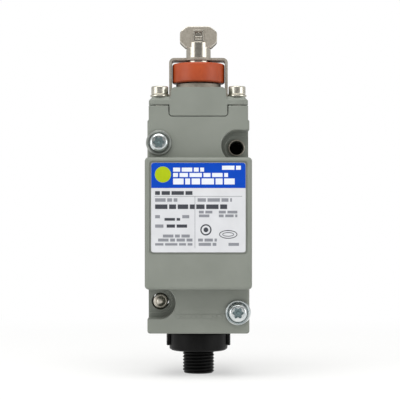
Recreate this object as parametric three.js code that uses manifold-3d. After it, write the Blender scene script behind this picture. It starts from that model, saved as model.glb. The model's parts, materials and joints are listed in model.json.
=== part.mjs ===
// Plug-in limit switch with a roller plunger head and a threaded connector below it.
// Millimetres, +Z up. The front faces -Y and +X is to the right seen from the front.
// The origin lies on the rear mounting face, midway between the two mounting holes.
import * as THREE from 'three';
import { mergeVertices } from 'three/addons/utils/BufferGeometryUtils.js';
import Module from 'manifold-3d';

const wasm = await Module();
wasm.setup();

// ---- Driving dimensions -------------------------------------------------------------------

// Fits
const seat = 0.05;                // between flat faces that are screwed together
const slip = 0.3;                 // between pieces that only lie side by side
const running = 0.1;              // round a piece that slides or turns
const screwClearance = 0.25;      // round a screw in its hole

// Castings
const bodyWidth = 38.6;
const bodyDepth = 38;             // mounting face to the front of the casting
const bodyBelow = 41.3;           // origin down to the bottom face
const bodyAbove = 45;             // origin up to the head's seat
const housingDepth = 13.4;        // joint face to the front of the casting
const receptacleDepth = bodyDepth - housingDepth;
const wall = 2.6;
const floorWall = 8;              // receptacle's thick bottom wall, tapped for the connector
const deckThickness = 5.2;        // shelf that carries the head
const cornerRadius = 1;
const gasketThickness = 0.8;
const gasketBand = 1.8;

// Raised box on the front, and its nameplate
const boxWidth = 40;
const boxProud = 8;
const boxBelow = 24.3;
const boxAbove = 25.1;
const boxCorner = 1.5;
const boxEdge = 1.2;
const plateWidth = 35.2;
const plateHeight = 33.4;
const plateThickness = 0.35;
const plateDrop = 2.1;            // top of the box down to the top of the plate
const pocketMargin = 0.7;
const pocketDepth = 0.5;

// Mounting holes and the pockets that lead to them
const mountPitchX = 29.46;
const mountPitchZ = 59.44;
const mountHoleRadius = 2.7;
const pocketRadius = 6.1;
const lowerHoleRadius = 3.25;     // the lower hole is a size larger and holds a screw
const mountScrewRadius = 2.9;
const plugLength = 6;             // rubber plug in the rear of the upper hole
const spotRadius = 4.4;           // machined seat for a mounting screw's head
const spotDepth = 0.4;
const bossInset = 12.9;           // side of the body to the inner side of a corner boss
const bossReach = 8.2;            // corner boss past the mounting hole's centre

// Plug-in screws
const plugScrewInset = 4.4;       // side of the body to the screw's axis
const upperScrewHeight = 30.9;
const lowerScrewHeight = -33.3;
const plugScrewRadius = 2.1;
const plugHeadRadius = 3.5;
const plugHeadHeight = 2.4;
const plugScrewGrip = 12;         // depth of thread in the receptacle
const plugDriveRadius = 2.2;
const plugDriveDepth = 1.6;
const plugPostRadius = 0.6;
const cupFloor = 0.5;
const cupRadius = 4.9;
const cupHeight = 1.3;

// Head casting
const headSquare = 37.6;
const capHeight = 3.2;
const capChamfer = 1.5;
const bossWidth = 21;
const bossHeight = 3.5;
const bossShoulder = 1.9;
const tongueWidth = 22;
const tongueHeight = 4.2;
const tongueThickness = 4;
const headScrewInset = 4.1;       // side of the head to the screw's axis
const headScrewRadius = 2;
const headScrewHead = 3.25;
const headScrewHeadHeight = 3.2;
const headDriveRadius = 1.9;
const headDriveDepth = 1.8;
const washerRadius = 3.6;
const washerThickness = 0.7;

// Bush, boot and strap
const bushFlangeRadius = 8.75;
const bushFlangeHeight = 2.7;
const bushBodyRadius = 6.3;
const bushBodyLength = 1.8;
const bootRadius = 10.25;
const bootHeight = 7.5;
const bootLip = 2;
const bootWall = 2.6;
const bootEdge = 0.9;
const sealHeight = 4;
const strapThickness = 1;
const strapWidth = 8;
const strapSpan = 22.8;           // outside width over the two legs
const strapBend = 1.9;
const strapRise = 1.25;           // underside of the strap above the boot
const strapDisc = 6.5;            // radius of the round middle of the strap
const strapSlotDepth = 1.6;

// Roller plunger
const neckRadius = 4.8;
const plungerTravel = 3.8;
const shoulderRadius = 5.8;
const shoulderHeight = 1.2;
const spigotRadius = 3.7;
const spigotLength = 2.1;
const forkWidth = 14.5;
const forkHeight = 8.3;
const forkFlat = 3.95;            // axis to the flat front of the fork
const rollerRadius = 4.2;
const rollerWidth = 3.6;
const rollerPinRadius = 1.5;
const rollerPinHeight = 4.45;     // bottom of the fork up to the roller pin
const pinHeadSize = 4.4;
const pinHeadProud = 0.5;
const pinRecessSize = 3;
const pinRivetExtra = 0.7;        // riveted rear end past the pin's radius
const rollerEdge = 0.3;

// Springs and push rod
const chamberRadius = 7;
const springRadius = 4.6;
const springWire = 0.8;
const springTurns = 4;
const retainerThickness = 0.6;
const springFloor = 1.2;          // deck left under the return spring
const pushRodRadius = 2;
const pushCapRadius = 2.8;
const pushCapHeight = 1.4;

// Contact block
const blockWidth = 21;
const blockTop = 21.4;
const blockBottom = -8;
const blockBack = 6.8;            // push rod axis back to the rear of the block
const blockFront = 11.8;          // push rod axis forward to the front of the block
const blockWall = 1.4;
const coverThickness = 1.1;
const carrierWidth = 6.4;
const carrierDepth = 8;
const carrierDrop = 2.6;          // top of the block down to the carrier
const carrierLength = 20.6;
const bridgeLength = 16.4;
const bridgeDepth = 3;
const bridgeThickness = 0.7;
const bridgeLevels = [14.2, 6.2];  // carrier's foot up to the floor of each bridge window
const windowHeight = 4;
const stabWidth = 3.2;
const stabOffset = 7;
const stabThickness = 0.8;
const stabReach = 4;
const returnRadius = 1.5;
const returnWire = 0.5;
const returnTurns = 4;

// Receptacle's terminals
const terminalPlateDepth = 3.4;
const terminalPitch = 8;
const terminalHeight = -16;       // terminal screws' height
const terminalSize = 6.2;
const stripThickness = 0.7;
const stripWidth = 2.8;
const jawLeaf = 0.6;
const jawReach = 2.65;           // stab held between a jaw's two leaves
const terminalHeadRadius = 2.6;
const terminalHeadHeight = 1.8;
const terminalScrewRadius = 1.5;
const groundScrewHeight = -28;
const groundScrewX = 2.5;

// Connector
const connectorDepth = 13.5;      // mounting face to the connector's axis
const clipRadius = 12.65;
const clipThickness = 1.2;
const lugLength = 5;
const lugWidth = 6;
const lugThickness = 0.9;
const collarRadius = 11.5;
const collarHeight = 7;
const stubRadius = 8.7;
const threadRadius = 6.15;
const threadDepth = 0.5;
const threadPitch = 1.27;
const threadTurns = 6;
const threadRelief = 0.5;
const threadChamfer = 0.8;
const socketRadius = 4.3;
const socketDepth = 8.5;
const pinCircle = 2.2;
const pinRadius = 0.5;
const pinProud = 6.6;
const pinCount = 3;

// ---- Levels and places worked out from them --------------------------------------------

const halfBody = bodyWidth / 2;
const bodyFront = -bodyDepth;
const boxFront = bodyFront - boxProud;
const deckBottom = bodyAbove - deckThickness;
const receptacleTop = deckBottom - slip;
const receptacleFront = -receptacleDepth;
const housingRear = receptacleFront - gasketThickness - 2 * seat;
const headAxis = bodyFront + headSquare / 2;
const headScrewSquare = headSquare - 2 * headScrewInset;
const upperMount = [mountPitchX / 2, mountPitchZ / 2];
const lowerMount = [-mountPitchX / 2, -mountPitchZ / 2];
const upperScrew = [-(halfBody - plugScrewInset), upperScrewHeight];
const lowerScrew = [halfBody - plugScrewInset, lowerScrewHeight];

const capBottom = bodyAbove + slip;
const capTop = capBottom + capHeight;
const bossTop = capTop + bossHeight;
const bushBottom = bossTop - bushBodyLength;
const bushTop = bossTop + seat + bushFlangeHeight;
const bootBottom = bushTop + slip;
const bootTop = bootBottom + bootHeight;
const strapTop = bootTop + strapRise + strapThickness;
const strapFoot = capTop - strapSlotDepth + slip;
const neckTop = strapTop + plungerTravel + 2 * running;
const forkTop = neckTop + forkHeight;
const pinLevel = neckTop + rollerPinHeight;
const slotHalf = rollerWidth / 2 + running;

const shoulderTop = bushBottom - slip;
const shoulderBottom = shoulderTop - shoulderHeight;
const spigotBottom = shoulderBottom - spigotLength;
const springSeat = deckBottom + springFloor;
const retainerTop = springSeat + seat + retainerThickness;
const pushTop = spigotBottom - slip;
const carrierTop = blockTop - carrierDrop;
const carrierBottom = carrierTop - carrierLength;
const blockFloor = blockBottom + blockWall;

const terminalFront = -(wall + slip + terminalPlateDepth);
const connectorAxis = -connectorDepth;
const clipTop = -bodyBelow - seat;
const clipBottom = clipTop - clipThickness;
const collarTop = clipBottom - seat;
const collarBottom = collarTop - collarHeight;
const threadBottom = collarBottom - threadRelief - threadTurns * threadPitch - threadChamfer;

// ---- Making solids ---------------------------------------------------------------------

const object = new THREE.Group();

// A closed three.js geometry as a solid, its shared points merged and its faces pointing out.
function solid(geometry) {
  geometry.deleteAttribute('normal');
  geometry.deleteAttribute('uv');
  const merged = mergeVertices(geometry, 1e-4);
  const points = merged.attributes.position.array;
  const faces = [];
  let volume = 0;
  for (let i = 0; i < merged.index.count; i += 3) {
    const [a, b, c] = merged.index.array.slice(i, i + 3);
    if (a !== b && b !== c && c !== a) {
      faces.push([a, b, c]);
      const [p, q, r] = [a, b, c].map((v) => new THREE.Vector3().fromArray(points, v * 3));
      volume += p.dot(q.cross(r));
    }
  }
  const turned = volume < 0 ? faces.map(([a, b, c]) => [a, c, b]) : faces;
  const triVerts = new Uint32Array(turned.flat());
  return new wasm.Manifold(new wasm.Mesh({ numProp: 3, vertProperties: points, triVerts }));
}

function add(name, shape, [color, roughness, metalness]) {
  const { vertProperties, triVerts } = shape.getMesh();
  const geometry = new THREE.BufferGeometry();
  geometry.setAttribute('position', new THREE.BufferAttribute(vertProperties, 3));
  geometry.setIndex(new THREE.BufferAttribute(triVerts, 1));
  geometry.computeVertexNormals();
  const material = new THREE.MeshStandardMaterial({ color, roughness, metalness });
  const piece = new THREE.Mesh(geometry, material);
  piece.name = name;
  object.add(piece);
}

// A box from a low and a high value along each axis.
function block([x0, x1], [y0, y1], [z0, z1]) {
  const geometry = new THREE.BoxGeometry(Math.abs(x1 - x0), Math.abs(y1 - y0), Math.abs(z1 - z0));
  geometry.translate((x0 + x1) / 2, (y0 + y1) / 2, (z0 + z1) / 2);
  return solid(geometry);
}

// A rounded rectangle between a low and a high corner.
function rounded([x0, x1], [y0, y1], radius) {
  const shape = new THREE.Shape();
  shape.absarc(x1 - radius, y1 - radius, radius, 0, Math.PI / 2);
  shape.absarc(x0 + radius, y1 - radius, radius, Math.PI / 2, Math.PI);
  shape.absarc(x0 + radius, y0 + radius, radius, Math.PI, Math.PI * 1.5);
  shape.absarc(x1 - radius, y0 + radius, radius, Math.PI * 1.5, Math.PI * 2);
  shape.closePath();
  return shape;
}

// A shape drawn in X and Z, extruded from rear to front, its front edge bevelled.
function facing(shape, rear, front, bevel = 0, bevelSegments = 2) {
  const geometry = new THREE.ExtrudeGeometry(shape, {
    depth: rear - front - bevel,
    curveSegments: 3,
    bevelEnabled: bevel > 0,
    bevelThickness: bevel,
    bevelSize: bevel,
    bevelOffset: -bevel,
    bevelSegments,
  });
  geometry.rotateX(Math.PI / 2);
  geometry.translate(0, rear, 0);
  const whole = solid(geometry);
  const reach = 200;
  return bevel > 0 ? whole.subtract(block([-reach, reach], [rear, rear + reach], [-reach, reach])) : whole;
}

// A shape drawn in X and Y, extruded from bottom to top, its top edge bevelled.
function upright(shape, bottom, top, bevel = 0, bevelSegments = 1) {
  const geometry = new THREE.ExtrudeGeometry(shape, {
    depth: top - bottom - bevel,
    curveSegments: 3,
    bevelEnabled: bevel > 0,
    bevelThickness: bevel,
    bevelSize: bevel,
    bevelOffset: -bevel,
    bevelSegments,
  });
  geometry.translate(0, 0, bottom);
  const whole = solid(geometry);
  const reach = 200;
  const below = [bottom - reach, bottom];
  return bevel > 0 ? whole.subtract(block([-reach, reach], [-reach, reach], below)) : whole;
}

// A profile of [radius, height] points turned round a line along Z through (x, y).
function turnedZ([x, y], profile, segments = 28) {
  const geometry = new THREE.LatheGeometry(profile.map((p) => new THREE.Vector2(...p)), segments);
  geometry.rotateX(Math.PI / 2);
  geometry.translate(x, y, 0);
  return solid(geometry);
}

// A profile of [radius, y] points turned round a line along Y through (x, z).
function turnedY([x, z], profile, segments = 24) {
  const geometry = new THREE.LatheGeometry(profile.map((p) => new THREE.Vector2(...p)), segments);
  geometry.translate(x, 0, z);
  return solid(geometry);
}

function rodProfile(radius, from, to) {
  return [[0, from], [radius, from], [radius, to], [0, to]];
}

function rodZ(place, radius, from, to, segments = 28) {
  return turnedZ(place, rodProfile(radius, from, to), segments);
}

function rodY(place, radius, from, to, segments = 20) {
  return turnedY(place, rodProfile(radius, from, to), segments);
}

function tubeZ(place, inner, outer, from, to, segments = 28) {
  const profile = [[inner, from], [outer, from], [outer, to], [inner, to], [inner, from]];
  return turnedZ(place, profile, segments);
}

function join(...shapes) {
  return shapes.reduce((whole, next) => whole.add(next));
}

function cut(shape, ...tools) {
  return tools.reduce((whole, tool) => whole.subtract(tool), shape);
}

// A round six-lobed drive recess.
function sixLobe(radius) {
  const points = [];
  const count = 24;
  for (let i = 0; i < count; i += 1) {
    const angle = (i / count) * Math.PI * 2;
    const reach = radius * (0.86 + 0.14 * Math.cos(6 * angle));
    points.push(new THREE.Vector2(reach * Math.cos(angle), reach * Math.sin(angle)));
  }
  return new THREE.Shape(points);
}

class Helix extends THREE.Curve {
  constructor([x, y], radius, bottom, top, turns) {
    super();
    Object.assign(this, { x, y, radius, bottom, top, turns });
  }

  getPoint(t, target = new THREE.Vector3()) {
    const angle = t * this.turns * Math.PI * 2;
    return target.set(
      this.x + this.radius * Math.cos(angle),
      this.y + this.radius * Math.sin(angle),
      this.bottom + t * (this.top - this.bottom),
    );
  }
}

function spring(place, radius, wire, bottom, top, turns) {
  const section = new THREE.Shape();
  section.absarc(0, 0, wire / 2, 0, Math.PI * 2);
  const extrudePath = new Helix(place, radius, bottom + wire / 2, top - wire / 2, turns);
  const steps = turns * 10;
  return solid(new THREE.ExtrudeGeometry(section, { steps, curveSegments: 3, extrudePath }));
}

// ---- Finishes: colour, roughness, metalness --------------------------------------------

const greyPaint = [0x8a8f86, 0.55, 0.1];
const zinc = [0xd8d9da, 0.25, 1];
const steel = [0xa8a69b, 0.3, 1];
const silicone = [0xb5522b, 0.6, 0];
const blackPlastic = [0x1a1a1a, 0.4, 0];
const blackRubber = [0x202020, 0.8, 0];
const brownMoulding = [0x3d2c22, 0.5, 0];
const brass = [0xc8a45c, 0.3, 1];
const copper = [0xb87850, 0.35, 1];
const plateWhite = [0xdedfe2, 0.4, 0];

// ---- Receptacle ------------------------------------------------------------------------

const axisPoint = [0, headAxis];
const connectorPoint = [0, connectorAxis];
const innerHalf = halfBody - wall;
const boss = [halfBody - bossInset, mountPitchZ / 2 - bossReach];
const cavityBottom = -bodyBelow + floorWall;
const cavityTop = receptacleTop - wall;

function mirrorSpan([low, high], side) {
  return side > 0 ? [low, high] : [-high, -low];
}

// A round pocket along Y that is open at the side of the body.
function sidePocket([x, z], radius, depth) {
  const mouth = mirrorSpan([Math.abs(x), halfBody + boxWidth], Math.sign(x));
  return join(
    rodY([x, z], radius, depth[0], depth[1], 28),
    block(mouth, depth, [z - radius, z + radius]),
  );
}

// The receptacle's cavity leaves a boss in each corner for the mounting and plug-in screws.
function receptacleCavity() {
  const rear = -wall;
  const room = block([-innerHalf, innerHalf], [receptacleFront - slip, rear], [cavityBottom, cavityTop]);
  const bosses = [];
  for (const side of [-1, 1]) {
    const span = mirrorSpan([boss[0], halfBody], side);
    bosses.push(block(span, [receptacleFront - slip, 0], [boss[1], bodyAbove]));
    bosses.push(block(span, [receptacleFront - slip, 0], [-bodyBelow, -boss[1]]));
  }
  return cut(room, ...bosses);
}

function receptacleHousing() {
  const body = facing(
    rounded([-halfBody, halfBody], [-bodyBelow, receptacleTop], cornerRadius),
    0,
    receptacleFront,
  );
  const rodNotchHalf = pushRodRadius + 1.2;
  const rodNotch = block(
    [-rodNotchHalf, rodNotchHalf],
    [receptacleFront - slip, headAxis + rodNotchHalf],
    [cavityTop - slip, bodyAbove],
  );
  const grip = [receptacleFront - slip, receptacleFront + plugScrewGrip];
  const spot = [receptacleFront - slip, receptacleFront + spotDepth];
  return cut(
    body,
    receptacleCavity(),
    rodNotch,
    sidePocket(upperMount, spotRadius, spot),
    sidePocket(lowerMount, spotRadius, spot),
    rodY(upperMount, mountHoleRadius, receptacleFront - slip, slip),
    rodY(lowerMount, lowerHoleRadius, receptacleFront - slip, slip),
    rodY(upperScrew, plugScrewRadius + running, ...grip),
    rodY(lowerScrew, plugScrewRadius + running, ...grip),
    rodZ(connectorPoint, stubRadius + screwClearance, -bodyBelow - slip, cavityBottom + slip),
    rodY([groundScrewX, groundScrewHeight], terminalScrewRadius + running, -wall - slip, -1),
  );
}

add('receptacle_housing', receptacleHousing(), greyPaint);

// The gasket runs inside the mounting pockets, which are open at the sides.
function receptacleGasket() {
  const rear = receptacleFront - seat;
  const front = rear - gasketThickness;
  const through = [front - slip, rear + slip];
  const edge = 1;
  const keep = pocketRadius + slip + gasketBand;
  const narrowHalf = mountPitchX / 2 - keep;
  const wideHalf = halfBody - edge - gasketBand;
  const tallHalf = mountPitchZ / 2 - keep;
  const plate = block(
    [-halfBody + edge, halfBody - edge],
    [front, rear],
    [-bodyBelow + edge, receptacleTop - edge],
  );
  return cut(
    plate,
    block(
      [-narrowHalf, narrowHalf],
      through,
      [-bodyBelow + edge + gasketBand, receptacleTop - edge - gasketBand],
    ),
    block([-wideHalf, wideHalf], through, [-tallHalf, tallHalf]),
    sidePocket(upperMount, pocketRadius + slip, through),
    sidePocket(lowerMount, pocketRadius + slip, through),
    rodY(upperScrew, plugScrewRadius + screwClearance, ...through),
    rodY(lowerScrew, plugScrewRadius + screwClearance, ...through),
  );
}

add('receptacle_gasket', receptacleGasket(), blackRubber);

// ---- Plug-in switch housing ------------------------------------------------------------

const boxInnerHalf = boxWidth / 2 - wall - cornerRadius;
const neckHalf = pushRodRadius + 2;
const headCorners = [[1, -1], [-1, -1], [-1, 1], [1, 1]].map(([x, y]) => [
  (x * headScrewSquare) / 2,
  headAxis + (y * headScrewSquare) / 2,
]);

function switchHousing() {
  const lower = facing(
    rounded([-halfBody, halfBody], [-bodyBelow, deckBottom], cornerRadius),
    housingRear,
    bodyFront,
    0.8,
  );
  const deck = block(
    [-headSquare / 2, headSquare / 2],
    [bodyFront, bodyFront + headSquare],
    [deckBottom - cornerRadius, bodyAbove],
  );
  const underDeck = block(
    [-bodyWidth, bodyWidth],
    [housingRear, slip],
    [deckBottom - 2 * cornerRadius, deckBottom],
  );
  const box = facing(
    rounded([-boxWidth / 2, boxWidth / 2], [-boxBelow, boxAbove], boxCorner),
    housingRear,
    boxFront,
    boxEdge,
  );
  const through = [bodyFront - slip, housingRear + slip];
  const pockets = cut(
    join(sidePocket(upperMount, pocketRadius, through), sidePocket(lowerMount, pocketRadius, through)),
    block([-boxWidth, boxWidth], [boxFront, slip], [-boxBelow, boxAbove]),
  );
  const boxRoom = block(
    [-boxInnerHalf, boxInnerHalf],
    [boxFront + wall, housingRear + slip],
    [-boxBelow + wall, boxAbove - wall],
  );
  const neckRoom = block(
    [-neckHalf - 1, neckHalf + 1],
    [bodyFront + wall, housingRear + slip],
    [0, deckBottom - wall],
  );
  const lowerRoom = block(
    [-boss[0] + wall, boss[0] - wall],
    [bodyFront + wall, housingRear + slip],
    [-bodyBelow + wall, 0],
  );
  const tongueRoom = facing(
    rounded(
      [-tongueWidth / 2 - slip, tongueWidth / 2 + slip],
      [bodyAbove - tongueHeight, bodyAbove + tongueHeight],
      1.4,
    ),
    bodyFront + tongueThickness + slip,
    bodyFront - slip,
  );
  const platePocket = facing(
    rounded(
      [-plateWidth / 2 - pocketMargin, plateWidth / 2 + pocketMargin],
      [boxAbove - plateDrop - plateHeight - pocketMargin, boxAbove - plateDrop + pocketMargin],
      1.4,
    ),
    boxFront + pocketDepth,
    boxFront - slip,
  );
  const screwHoles = headCorners.map((corner) => rodZ(
    corner,
    headScrewRadius + running,
    deckBottom + 1,
    bodyAbove + slip,
    16,
  ));
  const plugHole = plugScrewRadius + screwClearance;
  return cut(
    join(cut(deck, underDeck), lower, box),
    pockets,
    boxRoom,
    neckRoom,
    lowerRoom,
    tongueRoom,
    platePocket,
    ...screwHoles,
    rodY(upperScrew, plugHole, bodyFront - slip, housingRear + slip),
    rodY(lowerScrew, plugHole, bodyFront - slip, housingRear + slip),
    rodZ(axisPoint, chamberRadius - 0.5, springSeat, bodyAbove + slip),
    rodZ(axisPoint, pushRodRadius + running, deckBottom - slip, springSeat + slip),
  );
}

add('switch_housing', switchHousing(), greyPaint);

const plateTop = boxAbove - plateDrop;
const plateRear = boxFront + pocketDepth - seat;
add(
  'nameplate',
  facing(
    rounded([-plateWidth / 2, plateWidth / 2], [plateTop - plateHeight, plateTop], 1),
    plateRear,
    plateRear - plateThickness,
  ),
  plateWhite,
);

// ---- Plug-in screws, cup washers and the mounting screw --------------------------------

const cupFront = bodyFront - seat - cupHeight;

function cupWasher(place) {
  const rear = bodyFront - seat;
  const inner = plugScrewRadius + screwClearance;
  const profile = [
    [inner, rear],
    [cupRadius, rear],
    [cupRadius, rear - cupFloor],
    [cupRadius - cupFloor, cupFront],
    [plugHeadRadius + slip, cupFront],
    [plugHeadRadius + slip, rear - cupFloor],
    [inner, rear - cupFloor],
    [inner, rear],
  ];
  return turnedY(place, profile, 24);
}

function plugInScrew([x, z]) {
  const under = bodyFront - seat - cupFloor - seat;
  const top = under - plugHeadHeight;
  const edge = 0.5;
  const profile = [
    [0, receptacleFront + plugScrewGrip - 1],
    [plugScrewRadius, receptacleFront + plugScrewGrip - 1],
    [plugScrewRadius, under],
    [plugHeadRadius, under],
    [plugHeadRadius, top + edge],
    [plugHeadRadius - edge, top],
    [0, top],
  ];
  const floor = top + plugDriveDepth;
  const drive = facing(sixLobe(plugDriveRadius), floor, top - slip).translate([x, 0, z]);
  const post = rodY([x, z], plugPostRadius, floor + slip, top + edge, 12);
  return join(cut(turnedY([x, z], profile, 24), drive), post);
}

[upperScrew, lowerScrew].forEach((place, i) => {
  add(`cup_washer_${i + 1}`, cupWasher(place), zinc);
  add(`plug_in_screw_${i + 1}`, plugInScrew(place), zinc);
});

add(
  'mounting_screw',
  turnedY(lowerMount, [
    [0, -2],
    [mountScrewRadius, -2],
    [mountScrewRadius, receptacleFront + 0.5],
    [mountScrewRadius - 0.6, receptacleFront],
    [mountScrewRadius - 1.1, receptacleFront],
    [mountScrewRadius - 1.4, receptacleFront - 0.9],
    [0, receptacleFront - 1.4],
  ], 24),
  steel,
);
add(
  'mounting_hole_plug',
  rodY(upperMount, mountHoleRadius - running, -1 - plugLength, -1, 24),
  blackRubber,
);

// ---- Head ------------------------------------------------------------------------------

const halfHead = headSquare / 2;
const headRear = bodyFront + headSquare;
const legInner = strapSpan / 2 - strapThickness;

function headCasting() {
  const cap = upright(
    rounded([-halfHead, halfHead], [bodyFront, headRear], 2),
    capBottom,
    capTop,
    capChamfer,
  );
  const ridge = new THREE.Shape();
  const halfBoss = bossWidth / 2;
  ridge.moveTo(-halfBoss, capTop - 2);
  ridge.lineTo(halfBoss, capTop - 2);
  ridge.absarc(halfBoss - bossShoulder, bossTop - bossShoulder, bossShoulder, 0, Math.PI / 2);
  ridge.absarc(-halfBoss + bossShoulder, bossTop - bossShoulder, bossShoulder, Math.PI / 2, Math.PI);
  ridge.closePath();
  const tongue = facing(
    rounded(
      [-tongueWidth / 2, tongueWidth / 2],
      [bodyAbove - tongueHeight + slip, capBottom + 2],
      1.1,
    ),
    bodyFront + tongueThickness,
    bodyFront,
  );
  const strapSlots = [-1, 1].map((side) => block(
    mirrorSpan([legInner - slip, strapSpan / 2 + slip], side),
    [headAxis - strapWidth / 2 - slip, headAxis + strapWidth / 2 + slip],
    [capTop - strapSlotDepth, bossTop + slip],
  ));
  const holes = headCorners.map((corner) => rodZ(
    corner,
    headScrewRadius + screwClearance,
    capBottom - slip,
    capTop + slip,
    16,
  ));
  return cut(
    join(cap, facing(ridge, headRear, bodyFront), tongue),
    ...strapSlots,
    ...holes,
    rodZ(axisPoint, chamberRadius, capBottom - tongueHeight, bushBottom - slip),
    rodZ(axisPoint, bushBodyRadius + running, capBottom, bossTop + slip),
    tubeZ(axisPoint, chamberRadius + 1.5, chamberRadius + 3.5, capBottom - slip, capBottom + 1.2),
  );
}

add('head_casting', headCasting(), greyPaint);
add(
  'head_gasket',
  tubeZ(axisPoint, chamberRadius + 1.7, chamberRadius + 3.3, bodyAbove + seat, capBottom + 1),
  blackRubber,
);

function headScrew([x, y]) {
  const under = capTop + 2 * seat + washerThickness;
  const top = under + headScrewHeadHeight;
  const edge = 0.6;
  const profile = [
    [0, deckBottom + 1.5],
    [headScrewRadius, deckBottom + 1.5],
    [headScrewRadius, under],
    [headScrewHead, under],
    [headScrewHead, top - edge],
    [headScrewHead - edge, top],
    [0, top],
  ];
  const floor = top - headDriveDepth;
  const drive = upright(sixLobe(headDriveRadius), floor, top + slip).translate([x, y, 0]);
  return cut(turnedZ([x, y], profile, 20), drive);
}

headCorners.forEach((corner, i) => {
  const low = capTop + seat;
  const inner = headScrewRadius + 0.2;
  add(`head_washer_${i + 1}`, tubeZ(corner, inner, washerRadius, low, low + washerThickness, 20), zinc);
  add(`head_screw_${i + 1}`, headScrew(corner), zinc);
});

const bushBore = neckRadius + running;
add(
  'guide_bush',
  turnedZ(axisPoint, [
    [bushBore, bushBottom],
    [bushBodyRadius, bushBottom],
    [bushBodyRadius, bossTop + seat],
    [bushFlangeRadius, bossTop + seat],
    [bushFlangeRadius, bushTop - 0.4],
    [bushFlangeRadius - 0.4, bushTop],
    [bushBore, bushTop],
    [bushBore, bushBottom],
  ], 32),
  steel,
);
add(
  'boot_ring',
  turnedZ(axisPoint, [
    [bootRadius - bootWall, bootBottom],
    [bootRadius - bootEdge, bootBottom],
    [bootRadius, bootBottom + bootEdge],
    [bootRadius, bootTop - bootEdge],
    [bootRadius - bootEdge, bootTop],
    [bushBore + slip, bootTop],
    [bushBore + slip, bootTop - bootLip],
    [bootRadius - bootWall, bootTop - bootLip],
    [bootRadius - bootWall, bootBottom],
  ], 32),
  silicone,
);
add(
  'stem_seal',
  tubeZ(axisPoint, bushBore, bootRadius - bootWall - slip, bootBottom, bootBottom + sealHeight),
  blackRubber,
);

// The strap is one bent strip: two legs, a bridge over the boot and a round middle with a hole.
function guideStrap() {
  const halfSpan = strapSpan / 2;
  const inside = strapTop - strapThickness;
  const bend = new THREE.Shape();
  bend.moveTo(-halfSpan, strapFoot);
  bend.lineTo(-legInner, strapFoot);
  const inner = strapBend - strapThickness;
  bend.absarc(-legInner + inner, inside - inner, inner, Math.PI, Math.PI / 2, true);
  bend.absarc(legInner - inner, inside - inner, inner, Math.PI / 2, 0, true);
  bend.lineTo(legInner, strapFoot);
  bend.lineTo(halfSpan, strapFoot);
  bend.absarc(halfSpan - strapBend, strapTop - strapBend, strapBend, 0, Math.PI / 2);
  bend.absarc(-halfSpan + strapBend, strapTop - strapBend, strapBend, Math.PI / 2, Math.PI);
  bend.closePath();
  const strip = facing(bend, headAxis + strapWidth / 2, headAxis - strapWidth / 2);
  const disc = rodZ(axisPoint, strapDisc, inside, strapTop, 32);
  return cut(join(strip, disc), rodZ(axisPoint, bushBore + running, inside - slip, strapTop + slip, 32));
}

add('guide_strap', guideStrap(), steel);

// ---- Plunger, roller, spring and push rod ----------------------------------------------

function rollerPlunger() {
  const half = forkWidth / 2;
  const fork = new THREE.Shape();
  const side = [
    [neckRadius, 0],
    [half - 0.4, 1.95],
    [half, 2.5],
    [half, forkHeight - 2.7],
    [half - 0.4, forkHeight - 1.9],
    [half - 2.9, forkHeight],
  ];
  side.forEach(([x, z], i) => (i === 0 ? fork.moveTo(x, neckTop + z) : fork.lineTo(x, neckTop + z)));
  side.toReversed().forEach(([x, z]) => fork.lineTo(-x, neckTop + z));
  fork.closePath();
  const stem = turnedZ(axisPoint, [
    [0, spigotBottom],
    [spigotRadius, spigotBottom],
    [spigotRadius, shoulderBottom],
    [shoulderRadius, shoulderBottom],
    [shoulderRadius, shoulderTop],
    [neckRadius, shoulderTop],
    [neckRadius, neckTop + 1.9],
    [neckRadius - 0.3, neckTop + 2.2],
    [0, neckTop + 2.2],
  ], 32);
  const slotFloor = pinLevel - rollerRadius - 0.5;
  const slot = block(
    [-forkWidth, forkWidth],
    [headAxis - slotHalf, headAxis + slotHalf],
    [slotFloor, forkTop + slip],
  );
  const pinHole = rodY(
    [0, pinLevel],
    rollerPinRadius + running,
    headAxis + forkFlat + slip,
    headAxis - forkFlat - slip,
    20,
  );
  return cut(join(facing(fork, headAxis + forkFlat, headAxis - forkFlat), stem), slot, pinHole);
}

add('roller_plunger', rollerPlunger(), steel);

function rollerPin() {
  const faceFront = headAxis - forkFlat - seat;
  const faceRear = headAxis + forkFlat + seat;
  const half = pinHeadSize / 2;
  const window = pinRecessSize / 2;
  const head = facing(
    rounded([-half, half], [pinLevel - half, pinLevel + half], 0.7),
    faceFront,
    faceFront - pinHeadProud,
  );
  const recess = block(
    [-window, window],
    [faceFront - pinHeadProud - slip, faceFront - 0.1],
    [pinLevel - window, pinLevel + window],
  );
  return join(
    rodY([0, pinLevel], rollerPinRadius, faceRear, faceFront - 0.1, 20),
    cut(head, recess),
    rodY([0, pinLevel], rollerPinRadius + pinRivetExtra, faceRear + pinHeadProud, faceRear, 20),
  );
}

add('roller_pin', rollerPin(), steel);

add(
  'roller',
  turnedY([0, pinLevel], [
    [rollerPinRadius + running, headAxis - rollerWidth / 2],
    [rollerRadius - rollerEdge, headAxis - rollerWidth / 2],
    [rollerRadius, headAxis - rollerWidth / 2 + rollerEdge],
    [rollerRadius, headAxis + rollerWidth / 2 - rollerEdge],
    [rollerRadius - rollerEdge, headAxis + rollerWidth / 2],
    [rollerPinRadius + running, headAxis + rollerWidth / 2],
    [rollerPinRadius + running, headAxis - rollerWidth / 2],
  ], 28),
  steel,
);

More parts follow.
